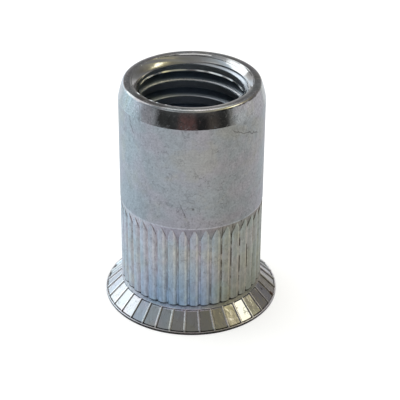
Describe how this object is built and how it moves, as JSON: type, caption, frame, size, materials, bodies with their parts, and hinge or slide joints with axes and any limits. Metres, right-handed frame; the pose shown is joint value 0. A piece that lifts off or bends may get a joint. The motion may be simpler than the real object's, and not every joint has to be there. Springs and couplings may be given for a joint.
{
  "type": "rivet nut",
  "caption": "Open-end rivet nut with a knurled thin-walled shank, a ribbed countersunk head and a coarse internal thread at the far end.",
  "frame": {"origin": "centre of the flat head face, which the nut stands on", "axes": "+Z along the nut's axis, from the head to the rim of the threaded end"},
  "size_m": [0.0148, 0.0148, 0.02],
  "materials": {
    "zinc_plated_steel": "bright clear zinc plate, satin on the shank and polished on the nose, countersink and head recesses"
  },
  "bodies": {
    "root": {"rivet_nut": "zinc_plated_steel"}
  },
  "joints": []
}
